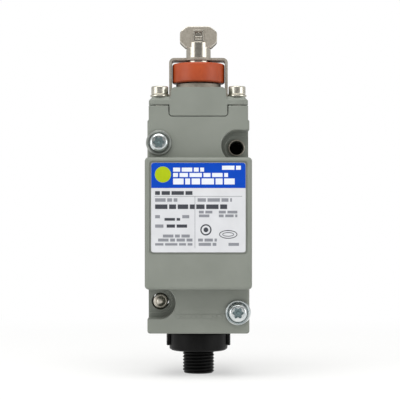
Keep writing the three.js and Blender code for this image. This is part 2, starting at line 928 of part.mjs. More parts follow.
add(
  'spring_retainer',
  tubeZ(axisPoint, pushCapRadius + slip, chamberRadius - 0.5 - slip, springSeat + seat, retainerTop),
  steel,
);
add(
  'return_spring',
  spring(axisPoint, springRadius, springWire, retainerTop + seat, shoulderBottom - seat, springTurns),
  steel,
);
add(
  'push_rod',
  join(
    rodZ(axisPoint, pushRodRadius, carrierTop + slip, pushTop, 24),
    rodZ(axisPoint, pushCapRadius, pushTop - pushCapHeight, pushTop, 24),
  ),
  brass,
);

// ---- Contact block ---------------------------------------------------------------------

const blockRear = headAxis + blockBack;
const blockFace = headAxis - blockFront;
const bridgeFloors = bridgeLevels.map((level) => carrierBottom + level);
const stabFloors = [
  bridgeFloors[0] + windowHeight + 2 * running,
  bridgeFloors[1] - plungerTravel - slip - stabThickness,
];
const stabRear = blockRear + stabReach;

function stabSpan(side, margin = 0) {
  return mirrorSpan([stabOffset - stabWidth / 2 - margin, stabOffset + stabWidth / 2 + margin], side);
}

function contactBlockBase() {
  const half = blockWidth / 2;
  const body = block([-half, half], [blockFace, blockRear], [blockBottom, blockTop]);
  const neck = block(
    [-neckHalf, neckHalf],
    [blockFace, headAxis + neckHalf],
    [blockTop - 1, cavityTop - slip],
  );
  const room = block(
    [-half + blockWall, half - blockWall],
    [blockFace - slip, blockRear - blockWall],
    [blockFloor, blockTop - blockWall],
  );
  const stabSlots = [];
  for (const floor of stabFloors) {
    for (const side of [-1, 1]) {
      stabSlots.push(block(
        stabSpan(side, running),
        [headAxis, blockRear + slip],
        [floor - running, floor + stabThickness + running],
      ));
    }
  }
  const rodHole = rodZ(axisPoint, pushRodRadius + running, blockTop - blockWall - slip, bodyAbove, 24);
  return cut(join(body, neck), room, rodHole, ...stabSlots);
}

add('contact_block_base', contactBlockBase(), brownMoulding);
add(
  'contact_block_cover',
  block(
    [-blockWidth / 2, blockWidth / 2],
    [blockFace - seat - coverThickness, blockFace - seat],
    [blockBottom, blockTop],
  ),
  brownMoulding,
);

function contactCarrier() {
  const half = carrierWidth / 2;
  const depth = [headAxis - carrierDepth / 2, headAxis + carrierDepth / 2];
  const windows = bridgeFloors.map((floor) => block(
    [-carrierWidth, carrierWidth],
    [headAxis - bridgeDepth / 2 - running, headAxis + bridgeDepth / 2 + running],
    [floor, floor + windowHeight],
  ));
  const springRoom = rodZ(
    axisPoint,
    returnRadius + returnWire / 2 + 0.4,
    carrierBottom - slip,
    bridgeFloors[1] - 1.6,
    20,
  );
  return cut(block([-half, half], depth, [carrierBottom, carrierTop]), ...windows, springRoom);
}

add('contact_carrier', contactCarrier(), blackPlastic);

function bridge(low) {
  const half = bridgeLength / 2;
  const depth = [headAxis - bridgeDepth / 2, headAxis + bridgeDepth / 2];
  return block([-half, half], depth, [low, low + bridgeThickness]);
}

add('moving_bridge_upper', bridge(bridgeFloors[0] + windowHeight - bridgeThickness - seat), copper);
add('moving_bridge_lower', bridge(bridgeFloors[1] + seat), copper);

['upper', 'lower'].forEach((row, i) => {
  [['left', -1], ['right', 1]].forEach(([name, side]) => {
    const shape = block(
      stabSpan(side),
      [headAxis - bridgeDepth / 2, stabRear],
      [stabFloors[i], stabFloors[i] + stabThickness],
    );
    add(`stab_contact_${row}_${name}`, shape, copper);
  });
});

add(
  'carrier_spring',
  spring(axisPoint, returnRadius, returnWire, blockFloor + seat, bridgeFloors[1] - 1.6 - seat, returnTurns),
  steel,
);

// ---- Terminals in the receptacle -------------------------------------------------------

const terminalXs = [terminalPitch / 2, terminalPitch * 1.5];
const terminalBottom = terminalHeight - terminalSize / 2 - 2;
const jawLevels = stabFloors.map((floor) => floor + stabThickness / 2);
const stripRear = terminalFront - seat;
const stripFront = stripRear - stripThickness;

function terminalBlock() {
  const half = terminalXs[1] + terminalSize / 2 + 0.4;
  const plate = block([-half, half], [terminalFront, -wall - slip], [terminalBottom, boss[1] - 1]);
  const holes = [-1, 1].flatMap((side) => terminalXs.map((x) => rodY(
    [side * x, terminalHeight],
    terminalScrewRadius + running,
    terminalFront - slip,
    terminalFront + 2.4,
    16,
  )));
  return cut(plate, ...holes);
}

add('terminal_block', terminalBlock(), blackPlastic);

// A jaw that grips a stab, and the strip that leads from it down to a terminal screw.
function jawTerminal(side, level, terminalX, jogTop) {
  const depth = [stripFront, stripRear];
  const inner = stabOffset - stripWidth / 2;
  const outer = stabOffset + stripWidth / 2;
  const grip = stabThickness / 2 + running;
  const low = terminalX - stripWidth / 2;
  const high = terminalX + stripWidth / 2;
  const jog = [Math.min(inner, low), Math.max(outer, high)];
  const pad = [terminalX - terminalSize / 2, terminalX + terminalSize / 2];
  const padTop = terminalHeight + terminalSize / 2;
  const leaf = [stabRear - jawReach, stripFront + seat];
  const span = mirrorSpan([inner, outer], side);
  const top = level + grip + jawLeaf + 0.6;
  const hole = rodY(
    [side * terminalX, terminalHeight],
    terminalScrewRadius + running,
    stripFront - slip,
    stripRear + slip,
    16,
  );
  return cut(
    join(
      block(span, depth, [jogTop - stripWidth, top]),
      block(mirrorSpan(jog, side), depth, [jogTop - stripWidth, jogTop]),
      block(mirrorSpan([low, high], side), depth, [padTop - 1, jogTop]),
      block(mirrorSpan(pad, side), depth, [terminalHeight - terminalSize / 2, padTop]),
      block(span, leaf, [level + grip, level + grip + jawLeaf]),
      block(span, leaf, [level - grip - jawLeaf, level - grip]),
    ),
    hole,
  );
}

function panScrew([x, z], radius, headRadius, tip, under) {
  const top = under - terminalHeadHeight;
  const edge = 0.5;
  const profile = [
    [0, tip],
    [radius, tip],
    [radius, under],
    [headRadius, under],
    [headRadius, top + edge],
    [headRadius - edge, top],
    [0, top],
  ];
  const halfSlot = 0.35;
  const slot = block(
    [x - headRadius, x + headRadius],
    [top - slip, top + 0.8],
    [z - halfSlot, z + halfSlot],
  );
  return cut(turnedY([x, z], profile, 16), slot);
}

[['left', -1], ['right', 1]].forEach(([name, side]) => {
  [['outer', 0, 1], ['inner', 1, 0]].forEach(([place, row, column]) => {
    const jogTop = row === 0 ? jawLevels[0] - 8 : jawLevels[1] - 7;
    const x = terminalXs[column];
    add(`jaw_terminal_${name}_${place}`, jawTerminal(side, jawLevels[row], x, jogTop), brass);
    add(
      `terminal_screw_${name}_${place}`,
      panScrew(
        [side * x, terminalHeight],
        terminalScrewRadius,
        terminalHeadRadius,
        terminalFront + 2,
        stripFront - seat,
      ),
      zinc,
    );
  });
});

add(
  'ground_screw',
  panScrew(
    [groundScrewX, groundScrewHeight],
    terminalScrewRadius,
    terminalHeadRadius + 0.4,
    -1.3,
    -wall - seat,
  ),
  brass,
);

// ---- Connector -------------------------------------------------------------------------

function lockClip() {
  const foot = clipBottom - lugLength;
  const plate = tubeZ(connectorPoint, stubRadius + slip, clipRadius, clipBottom, clipTop);
  const ring = tubeZ(connectorPoint, clipRadius - lugThickness, clipRadius, foot, clipTop);
  const lugs = block(
    [-clipRadius, clipRadius],
    [connectorAxis - lugWidth / 2, connectorAxis + lugWidth / 2],
    [foot, clipTop],
  );
  return plate.add(ring.intersect(lugs));
}

add('lock_clip', lockClip(), blackPlastic);

function connectorAdapter() {
  const root = threadRadius - threadDepth;
  const start = collarBottom - threadRelief;
  const outside = [
    [socketRadius - 0.5, cavityBottom],
    [stubRadius, cavityBottom],
    [stubRadius, collarTop],
    [collarRadius, collarTop],
    [collarRadius, collarBottom + 1],
    [collarRadius - 0.3, collarBottom + 0.3],
    [collarRadius - 1, collarBottom],
    [root, collarBottom],
    [root, start],
  ];
  for (let i = 0; i < threadTurns; i += 1) {
    const top = start - i * threadPitch;
    outside.push([threadRadius, top - threadPitch / 2]);
    outside.push([root, top - threadPitch]);
  }
  outside.push([root, threadBottom + threadChamfer / 2]);
  outside.push([root - threadChamfer / 2, threadBottom]);
  outside.push([socketRadius, threadBottom]);
  outside.push([socketRadius, threadBottom + socketDepth]);
  outside.push([socketRadius - 0.5, threadBottom + socketDepth]);
  outside.push([socketRadius - 0.5, cavityBottom]);
  return turnedZ(connectorPoint, outside, 28);
}

add('connector_adapter', connectorAdapter(), blackPlastic);

const pinPlaces = Array.from({ length: pinCount }, (_, i) => {
  const angle = (i / pinCount + 0.25) * Math.PI * 2;
  return [pinCircle * Math.cos(angle), connectorAxis + pinCircle * Math.sin(angle)];
});
const insertBottom = threadBottom + socketDepth - 1;
const insertTop = threadBottom + socketDepth - slip;

function connectorInsert() {
  const bore = pinRadius + running;
  const holes = pinPlaces.map((place) => rodZ(place, bore, insertBottom - slip, insertTop + 3, 12));
  const disc = rodZ(connectorPoint, socketRadius - running, insertBottom, insertTop);
  const core = rodZ(connectorPoint, socketRadius - 0.5 - running, insertBottom, insertTop + 2);
  return cut(join(disc, core), ...holes);
}

add('connector_insert', connectorInsert(), blackPlastic);
pinPlaces.forEach((place, i) => {
  const pin = rodZ(place, pinRadius, insertBottom - pinProud, insertTop + 4, 12);
  add(`connector_pin_${i + 1}`, pin, brass);
});

export default object;
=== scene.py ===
import json
import math

import bmesh
import bpy
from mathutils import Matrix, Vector
from mathutils.bvhtree import BVHTree
from mathutils.geometry import intersect_point_line


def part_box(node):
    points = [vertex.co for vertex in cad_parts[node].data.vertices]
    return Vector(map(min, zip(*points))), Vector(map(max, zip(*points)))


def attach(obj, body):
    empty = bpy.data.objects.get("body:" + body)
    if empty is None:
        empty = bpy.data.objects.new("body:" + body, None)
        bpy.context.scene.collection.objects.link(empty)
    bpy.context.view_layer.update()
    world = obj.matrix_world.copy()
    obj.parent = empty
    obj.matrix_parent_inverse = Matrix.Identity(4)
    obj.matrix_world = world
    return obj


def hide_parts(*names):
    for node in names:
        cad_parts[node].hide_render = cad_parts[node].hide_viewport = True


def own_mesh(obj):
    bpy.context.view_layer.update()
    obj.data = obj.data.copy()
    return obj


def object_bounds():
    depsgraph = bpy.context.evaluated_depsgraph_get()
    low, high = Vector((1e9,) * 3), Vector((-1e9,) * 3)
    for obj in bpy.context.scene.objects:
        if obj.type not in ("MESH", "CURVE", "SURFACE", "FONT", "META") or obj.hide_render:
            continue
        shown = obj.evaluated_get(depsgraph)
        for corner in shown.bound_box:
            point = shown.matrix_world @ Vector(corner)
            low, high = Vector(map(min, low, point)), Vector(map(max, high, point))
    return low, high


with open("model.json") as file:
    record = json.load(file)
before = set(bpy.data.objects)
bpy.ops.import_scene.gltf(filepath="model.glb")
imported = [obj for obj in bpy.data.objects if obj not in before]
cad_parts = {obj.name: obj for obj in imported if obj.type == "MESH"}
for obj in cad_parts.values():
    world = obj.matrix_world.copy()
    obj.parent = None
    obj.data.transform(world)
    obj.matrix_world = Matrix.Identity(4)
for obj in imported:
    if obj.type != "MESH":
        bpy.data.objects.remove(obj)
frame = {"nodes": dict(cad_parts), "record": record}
cad_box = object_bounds()

# ---------------------------------------------------------------------------------------
# Camera. A long lens half a metre in front of the nameplate, level with the middle of the
# body, shifted a little so that the head and the connector both fit.

MM = 0.001
LENS = 121.0
STAND_OFF = 500.0
EYE_ACROSS = 0.6
EYE_HEIGHT = -0.2
SHIFT_UP = 0.0625


def span(node):
    """Lowest and highest corner of a CAD node in millimetres."""
    low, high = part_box(node)
    return low / MM, high / MM


box_front = span("switch_housing")[0].y
camera = bpy.data.objects.new("camera", bpy.data.cameras.new("camera"))
camera.data.lens = LENS
camera.data.sensor_width = 36.0
camera.data.shift_y = SHIFT_UP
camera.data.clip_start = 0.01
camera.data.clip_end = 20.0
camera.location = (EYE_ACROSS * MM, (box_front - STAND_OFF) * MM, EYE_HEIGHT * MM)
camera.rotation_euler = (math.radians(90), 0, 0)
bpy.context.scene.collection.objects.link(camera)
bpy.context.scene.camera = camera

# ---------------------------------------------------------------------------------------
# Studio. A pale floor under the connector, a white tent, one tall softbox on each side and
# a wide one overhead. The side where the camera stands is left dim.


def linear(code):
    """An sRGB hex colour as linear red, green, blue and alpha."""
    values = [int(code[i:i + 2], 16) / 255 for i in (1, 3, 5)]
    return tuple(v / 12.92 if v <= 0.04045 else ((v + 0.055) / 1.055) ** 2.4 for v in values) + (1.0,)


def add(tree, kind, settings=None, links=None):
    """A shader node with its settings, by attribute or input name, and its incoming links."""
    node = tree.nodes.new(kind)
    for name, value in (settings or {}).items():
        if isinstance(name, str) and hasattr(node, name):
            setattr(node, name, value)
        else:
            node.inputs[name].default_value = value
    for name, source in (links or {}).items():
        tree.links.new(source, node.inputs[name])
    return node


def softbox(name, place, target, width, height, power):
    """A rectangle of light at a place, facing a target, in millimetres and watts."""
    lamp = bpy.data.objects.new(name, bpy.data.lights.new(name, "AREA"))
    lamp.data.shape = "RECTANGLE"
    lamp.data.size = width * MM
    lamp.data.size_y = height * MM
    lamp.data.energy = power
    lamp.location = Vector(place) * MM
    lamp.rotation_euler = (Vector(target) - Vector(place)).to_track_quat("-Z", "Y").to_euler()
    lamp.visible_camera = False
    bpy.context.scene.collection.objects.link(lamp)


SIDE_WATTS = 1.65
TOP_WATTS = 5.8
AIM = (0, -20, 0)
softbox("softbox_left", (-720, -480, 40), AIM, 560, 500, SIDE_WATTS)
softbox("softbox_right", (720, -480, 40), AIM, 560, 500, SIDE_WATTS)
softbox("softbox_top", (-60, -420, 720), AIM, 900, 600, TOP_WATTS)

TENT_DIM = 0.25
TENT_BRIGHT = 0.62
world = bpy.data.worlds.new("light_tent")
bpy.context.scene.world = world
world.use_nodes = True
sky = world.node_tree
sky.nodes.clear()
toward = add(sky, "ShaderNodeTexCoord").outputs["Generated"]
split = add(sky, "ShaderNodeSeparateXYZ", links={"Vector": toward})
front = add(sky, "ShaderNodeMapRange", {
    "From Min": -0.95, "From Max": -0.45, "To Min": TENT_DIM, "To Max": TENT_BRIGHT},
    {"Value": split.outputs["Y"]})
tent = add(sky, "ShaderNodeBackground", {"Color": linear("#F6F6F4")}, {"Strength": front.outputs[0]})
backing = add(sky, "ShaderNodeBackground", {"Color": (1, 1, 1, 1), "Strength": 1.0})
seen = add(sky, "ShaderNodeLightPath")
either = add(sky, "ShaderNodeMixShader", links={
    0: seen.outputs["Is Camera Ray"], 1: tent.outputs[0], 2: backing.outputs[0]})
add(sky, "ShaderNodeOutputWorld", links={"Surface": either.outputs[0]})

# The floor is lit from below further out, so that it runs into the white of the tent.
FLOOR_REACH = 3.0
GLOW_FROM_MM = 60
GLOW_FULL_MM = 330
GLOW_LEAST = 0.48
ground = cad_box[0].z
floor_mesh = bpy.data.meshes.new("studio_floor")
floor_mesh.from_pydata(
    [(x * FLOOR_REACH, y * FLOOR_REACH, ground) for x, y in ((-1, -1), (1, -1), (1, 1), (-1, 1))],
    [], [(0, 1, 2, 3)])
studio_floor = bpy.data.objects.new("studio_floor", floor_mesh)
bpy.context.scene.collection.objects.link(studio_floor)
paper = bpy.data.materials.new("white_acrylic_sheet")
paper.use_nodes = True
sheet = paper.node_tree
sheet_shader = sheet.nodes["Principled BSDF"]
sheet_shader.inputs["Base Color"].default_value = linear("#FAFAF9")
sheet_shader.inputs["Roughness"].default_value = 0.9
sheet_shader.inputs["Specular IOR Level"].default_value = 0.0
spot = add(sheet, "ShaderNodeTexCoord").outputs["Object"]
away = add(sheet, "ShaderNodeVectorMath", {"operation": "LENGTH"}, {0: spot})
glow = add(sheet, "ShaderNodeMapRange", {
    "interpolation_type": "SMOOTHSTEP", "From Min": GLOW_FROM_MM * MM, "From Max": GLOW_FULL_MM * MM,
    "To Min": GLOW_LEAST, "To Max": 1.0}, {"Value": away.outputs["Value"]})
lit = add(sheet, "ShaderNodeEmission", {"Color": (1, 1, 1, 1), "Strength": 1.0})
blend = add(sheet, "ShaderNodeMixShader", links={
    0: glow.outputs[0], 1: sheet_shader.outputs[0], 2: lit.outputs[0]})
sheet.links.new(blend.outputs[0], sheet.nodes["Material Output"].inputs["Surface"])
floor_mesh.materials.append(paper)

bpy.context.scene.view_settings.view_transform = "Standard"

# ---------------------------------------------------------------------------------------
# Receptacle housing, switch housing and head casting. Zinc die castings under a baked grey
# enamel: edges are rounded by the die and by the paint, which leaves a fine orange peel.

ENAMEL_GREY = "#7E827A"
ENAMEL_LIGHT = "#83877F"
CAST_EDGE_MM = 0.3
LONG_EDGE_MM = 0.8
WELD_MM = 0.01


def surface(name):
    """A new material with its tree, its principled shader and object coordinates."""
    made = bpy.data.materials.new(name)
    made.use_nodes = True
    tree = made.node_tree
    return made, tree, tree.nodes["Principled BSDF"], add(tree, "ShaderNodeTexCoord").outputs["Object"]


def noise(tree, place, size_mm, detail=2.0):
    """Noise whose features are about that many millimetres across."""
    settings = {"Scale": 1 / (size_mm * MM), "Detail": detail}
    return add(tree, "ShaderNodeTexNoise", settings, {"Vector": place}).outputs["Fac"]


def ramp(tree, source, stops):
    """A colour ramp with stops of position and hex colour."""
    made = add(tree, "ShaderNodeValToRGB", links={"Fac": source})
    elements = made.color_ramp.elements
    while len(elements) < len(stops):
        elements.new(0.5)
    for element, (position, code) in zip(elements, stops):
        element.position = position
        element.color = linear(code)
    return made.outputs["Color"]


def scaled(tree, source, low, high):
    """A zero to one value spread between two others."""
    return add(tree, "ShaderNodeMapRange", {"To Min": low, "To Max": high}, {"Value": source}).outputs[0]


def relief(tree, source, depth_mm, strength=1.0, under=None):
    """A bump of that depth in millimetres, over another normal where there is one."""
    links = {"Height": source}
    if under is not None:
        links["Normal"] = under
    return add(tree, "ShaderNodeBump", {"Strength": strength, "Distance": depth_mm * MM}, links).outputs[0]


# Baked enamel: satin, slightly uneven in gloss, with a soft peel and fine dust in the film.
enamel, tree, shader, place = surface("baked_grey_enamel")
cloud = noise(tree, place, 12, 3.0)
tree.links.new(ramp(tree, cloud, [(0.35, ENAMEL_GREY), (0.65, ENAMEL_LIGHT)]), shader.inputs["Base Color"])
tree.links.new(scaled(tree, cloud, 0.46, 0.58), shader.inputs["Roughness"])
peeled = relief(tree, noise(tree, place, 0.7), 0.03, 0.35)
dusty = relief(tree, noise(tree, place, 0.18, 1.0), 0.008, 0.3, peeled)
tree.links.new(dusty, shader.inputs["Normal"])
shader.inputs["Specular IOR Level"].default_value = 0.4


def link(name, mesh):
    """A new object in the scene for a mesh."""
    piece = bpy.data.objects.new(name, mesh)
    bpy.context.scene.collection.objects.link(piece)
    return piece


def smooth(piece, sharp_angle=32):
    """Smooth shading, with creases where faces meet at more than the angle."""
    for face in piece.data.polygons:
        face.use_smooth = True
    piece.data.set_sharp_from_angle(angle=math.radians(sharp_angle))


def settle(piece, material, body, slot, *nodes):
    """Gives a piece its material and its body, and hides the CAD nodes it stands for. The record slot is not
    used.
    """
    piece.data.materials.clear()
    piece.data.materials.append(material)
    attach(piece, body)
    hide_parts(*nodes)
    return piece


def leveled(piece):
    """Weights a piece's normals by area, so that its flat faces shade flat."""
    level = piece.modifiers.new("flat_faces", "WEIGHTED_NORMAL")
    level.keep_sharp = True
    return piece


def edged(piece, width, segments=3, angle=32):
    """Rounds a piece's edges with a bevel of that width in millimetres."""
    rounding = piece.modifiers.new("rounding", "BEVEL")
    rounding.width = width * MM
    rounding.segments = segments
    rounding.limit_method = "ANGLE"
    rounding.angle_limit = math.radians(angle)
    return leveled(piece)


NEAR_MM = 0.25
SLIVER_MM2 = 0.01


def folds(piece, true_faces):
    """The corners of every triangle near the true faces that faces the other way."""
    rounded = piece.evaluated_get(bpy.context.evaluated_depsgraph_get())
    mesh = rounded.to_mesh()
    mesh.calc_loop_triangles()
    corners = []
    for triangle in mesh.loop_triangles:
        _, normal, _, gap = true_faces.find_nearest(triangle.center)
        if gap < NEAR_MM * MM and triangle.area > SLIVER_MM2 * MM**2 and triangle.normal.dot(normal) < -0.2:
            corners.extend(mesh.vertices[index].co.copy() for index in triangle.vertices)
    rounded.to_mesh_clear()
    return corners


MOST_TRIES = 14


def unfold(piece, true_faces):
    """Gives an edge a smaller radius wherever its rounding folds over a short neighbour."""
    mesh = piece.data
    weights = mesh.attributes["bevel_weight_edge"].data
    for _ in range(MOST_TRIES):
        corners = folds(piece, true_faces)
        if not corners:
            break
        for edge in mesh.edges:
            start, end = (mesh.vertices[index].co for index in edge.vertices)
            if weights[edge.index].value > 0:
                for corner in corners:
                    share = intersect_point_line(corner, start, end)[1]
                    nearest = start.lerp(end, min(max(share, 0), 1))
                    if (corner - nearest).length < 1.1 * CAST_EDGE_MM * MM:
                        weights[edge.index].value *= 0.6
                        break
        mesh.update_tag()


def casting(name, node):
    """A CAD node's shape with whole flat faces and every long edge rounded by the die."""
    shape = bmesh.new()
    shape.from_mesh(frame["nodes"][node].data)
    bmesh.ops.remove_doubles(shape, verts=shape.verts, dist=WELD_MM * MM)
    true_faces = BVHTree.FromBMesh(shape)
    bmesh.ops.dissolve_limit(shape, angle_limit=math.radians(1), verts=shape.verts, edges=shape.edges)
    weight = shape.edges.layers.float.new("bevel_weight_edge")
    for edge in shape.edges:
        if len(edge.link_faces) == 2 and edge.calc_face_angle(0) > math.radians(35):
            edge.smooth = edge.calc_length() > LONG_EDGE_MM * MM
            edge[weight] = float(edge.smooth)
    mesh = bpy.data.meshes.new(name)
    shape.to_mesh(mesh)
    shape.free()
    piece = link(name, mesh)
    smooth(piece)
    rounding = piece.modifiers.new("rounding", "BEVEL")
    rounding.width = CAST_EDGE_MM * MM
    rounding.segments = 3
    rounding.limit_method = "WEIGHT"
    rounding.use_clamp_overlap = False
    unfold(piece, true_faces)
    return leveled(piece)


for cast_node in ("receptacle_housing", "switch_housing", "head_casting"):
    settle(casting(cast_node + "_casting", cast_node), enamel, "housing", "grey_paint", cast_node)


def relief_marks(name, x0, x1, z, height, front, proud, lengths, gap):
    """A row of low raised bars on a casting's front, where a maker would cast words."""
    shape = bmesh.new()
    at, i = x0, 0
    while at < x1:
        length = lengths[i % len(lengths)]
        middle = Vector((at + length / 2, front - proud / 2, z)) * MM
        made = bmesh.ops.create_cube(shape, size=1.0)["verts"]
        for vert in made:
            vert.co = Vector((vert.co.x * length, vert.co.y * proud, vert.co.z * height)) * MM + middle
        at, i = at + length + gap, i + 1
    mesh = bpy.data.meshes.new(name)
    shape.to_mesh(mesh)
    shape.free()
    return settle(link(name, mesh), enamel, "housing", "grey_paint", "switch_housing")


CAST_FRONT = -38.0
MARKS_PROUD = 0.2
relief_marks("cast_marks", -8.6, 9.4, -34.7, 1.4, CAST_FRONT, MARKS_PROUD, (1.6, 0.9, 2.2, 1.2), 0.5)

# ---------------------------------------------------------------------------------------
# Head screws with their spring washers, and plug-in screws with their cup washers.
# Cold-headed steel, zinc plated, with a six-lobed drive and fine marks left by turning.


def softened(outline, radius, closed=False, steps=4):
    """An outline with each of its corners turned into a short arc of about that radius."""
    points = [Vector(p) for p in outline]
    made = []
    for i, corner in enumerate(points):
        if not closed and i in (0, len(points) - 1):
            made.append(corner)
            continue
        before, after = points[i - 1], points[(i + 1) % len(points)]
        reach = min(radius, (before - corner).length * 0.45, (after - corner).length * 0.45)
        start = corner + (before - corner).normalized() * reach
        end = corner + (after - corner).normalized() * reach
        for step in range(steps + 1):
            t = step / steps
            made.append(start * (1 - t) ** 2 + corner * 2 * t * (1 - t) + end * t ** 2)
    return made


def solid(name, shape, sharp_angle=32):
    """A smooth-shaded object from a closed shape, its faces turned outwards."""
    bmesh.ops.recalc_face_normals(shape, faces=shape.faces)
    mesh = bpy.data.meshes.new(name)
    shape.to_mesh(mesh)
    shape.free()
    piece = link(name, mesh)
    smooth(piece, sharp_angle)
    return piece


def turned(name, profile, centre, axis="Z", closed=False, sides=96):
    """A profile of (radius, place along the axis) in millimetres, turned into a solid."""
    shape = bmesh.new()
    rings = []
    for radius, along in profile:
        ring = []
        for i in range(1 if radius < 1e-6 else sides):
            angle = 2 * math.pi * i / sides
            across, up = radius * math.cos(angle), radius * math.sin(angle)
            spot = {"Z": (centre[0] + across, centre[1] + up, along),
                    "Y": (centre[0] + across, along, centre[1] + up)}[axis]
            ring.append(shape.verts.new(Vector(spot) * MM))
        rings.append(ring)
    pairs = list(zip(rings, rings[1:])) + ([(rings[-1], rings[0])] if closed else [])
    for low, high in pairs:
        for i in range(sides):
            j = (i + 1) % sides
            face = [low[i % len(low)], low[j % len(low)], high[j % len(high)], high[i % len(high)]]
            unique = list(dict.fromkeys(face))
            if len(unique) > 2:
                shape.faces.new(unique)
    return solid(name, shape)


def prism(name, outline, low, high, axis="Y"):
    """An outline in millimetres made into a slab between two places along an axis."""
    shape = bmesh.new()
    put = {"Y": lambda a, b, c: (a, c, b), "Z": lambda a, b, c: (a, b, c)}[axis]
    ends = [[shape.verts.new(Vector(put(a, b, c)) * MM) for a, b in outline] for c in (low, high)]
    shape.faces.new(ends[0])
    shape.faces.new(ends[1])
    for i in range(len(outline)):
        j = (i + 1) % len(outline)
        shape.faces.new([ends[0][i], ends[0][j], ends[1][j], ends[1][i]])
    return solid(name, shape)


def carved(piece, *tools, operation="DIFFERENCE"):
    """Cuts tools away from a piece, or joins them to it, and removes them."""
    for tool in tools:
        step = piece.modifiers.new("carve", "BOOLEAN")
        step.operation = operation
        step.solver = "EXACT"
        step.object = tool
    ready = piece.evaluated_get(bpy.context.evaluated_depsgraph_get())
    mesh = bpy.data.meshes.new_from_object(ready)
    piece.modifiers.clear()
    piece.data = mesh
    for tool in tools:
        bpy.data.objects.remove(tool)
    smooth(piece)
    return piece


def second_finish(piece, material, chosen):
    """Gives a second material to the faces chosen by their middle, in millimetres, and normal."""
    piece.data.materials.append(material)
    for face in piece.data.polygons:
        if chosen(face.center / MM, face.normal):
            face.material_index = 1


def lobes(centre, radius, count=72):
    """The outline of a six-lobed drive."""
    made = []
    for i in range(count):
        angle = 2 * math.pi * i / count
        reach = radius * (0.86 + 0.14 * math.cos(6 * angle))
        made.append((centre[0] + reach * math.cos(angle), centre[1] + reach * math.sin(angle)))
    return made


# Bright zinc plate: cool, with faint clouding and fine marks.
zinc, tree, shader, place = surface("bright_zinc_plate")
cloud = noise(tree, place, 1.6, 3.0)
tree.links.new(ramp(tree, cloud, [(0.3, "#C3CBCD"), (0.7, "#DDE0DF")]), shader.inputs["Base Color"])
tree.links.new(scaled(tree, cloud, 0.17, 0.3), shader.inputs["Roughness"])
tree.links.new(relief(tree, noise(tree, place, 0.12, 2.0), 0.006, 0.35), shader.inputs["Normal"])
shader.inputs["Metallic"].default_value = 1.0

# The same plate in the drives, rougher, and darker with painted shade where the drive is deep.
painted_drive_shade_zinc, tree, shader, place = surface("painted_drive_shade_zinc_plate")
cloud = noise(tree, place, 0.6, 3.0)
tree.links.new(ramp(tree, cloud, [(0.3, "#84979A"), (0.7, "#9CABAD")]), shader.inputs["Base Color"])
tree.links.new(scaled(tree, cloud, 0.38, 0.52), shader.inputs["Roughness"])
shader.inputs["Metallic"].default_value = 1.0

# The post in the middle of each drive is darker still, with deeper painted shade.
painted_post_shade_zinc, tree, shader, place = surface("painted_post_shade_zinc_plate")
tree.links.new(ramp(tree, noise(tree, place, 0.5, 3.0), [(0.3, "#74878A"), (0.7, "#879A9B")]),
               shader.inputs["Base Color"])
shader.inputs["Roughness"].default_value = 0.5
shader.inputs["Metallic"].default_value = 1.0

# The head's cap screws and spring washers are passivated to a warmer, softer shine.
warm_zinc, tree, shader, place = surface("passivated_zinc_plate")
cloud = noise(tree, place, 1.6, 3.0)
tree.links.new(ramp(tree, cloud, [(0.3, "#C6C2B5"), (0.7, "#DAD6CA")]), shader.inputs["Base Color"])
tree.links.new(scaled(tree, cloud, 0.22, 0.34), shader.inputs["Roughness"])
tree.links.new(relief(tree, noise(tree, place, 0.12, 2.0), 0.006, 0.35), shader.inputs["Normal"])
shader.inputs["Metallic"].default_value = 1.0

# The upper cup washer is given a greyer, duller zinc than the lower one.
grey_zinc, tree, shader, place = surface("greyer_zinc_plate")
cloud = noise(tree, place, 1.2, 3.0)
tree.links.new(ramp(tree, cloud, [(0.3, "#8E918C"), (0.7, "#A3A6A1")]), shader.inputs["Base Color"])
tree.links.new(scaled(tree, cloud, 0.42, 0.55), shader.inputs["Roughness"])
shader.inputs["Metallic"].default_value = 0.8

HEAD_EDGE_MM = 0.45
WASHER_EDGE_MM = 0.12
CAP_DRIVE_MM = 1.9
CAP_DRIVE_DEPTH = 1.8
for i in range(1, 5):
    low, high = span(f"head_screw_{i}")
    centre = (low.xy + high.xy) / 2
    radius = (high.x - low.x) / 2
    washer_low, washer_high = span(f"head_washer_{i}")
    under = washer_high.z + 0.05
    washer_radius = (washer_high.x - washer_low.x) / 2
    bore = radius * 0.68
    ring = [(bore, washer_low.z), (washer_radius, washer_low.z), (washer_radius, washer_high.z),
            (bore, washer_high.z)]
    settle(turned(f"spring_washer_{i}", softened(ring, WASHER_EDGE_MM, True), centre, closed=True, sides=64),
           warm_zinc, "housing", "zinc_plate", f"head_washer_{i}")
    shank = radius * 0.6
    body = softened([(0, low.z), (shank, low.z), (shank, under), (radius, under), (radius, high.z - 0.25),
                     (radius - 0.25, high.z), (0, high.z)], HEAD_EDGE_MM)
    drive = prism("drive", lobes(centre, CAP_DRIVE_MM), high.z - CAP_DRIVE_DEPTH, high.z + 1, "Z")
    screw = leveled(carved(turned(f"cap_screw_{i}", body, centre, sides=64), drive))
    settle(screw, warm_zinc, "housing", "zinc_plate", f"head_screw_{i}")
    # The drive's walls and floor carry the painted shade.
    second_finish(screw, painted_drive_shade_zinc, lambda spot, normal: (
        high.z - CAP_DRIVE_DEPTH - 0.05 < spot.z < high.z - 0.05
        and (spot.xy - centre).length < CAP_DRIVE_MM + 0.05))

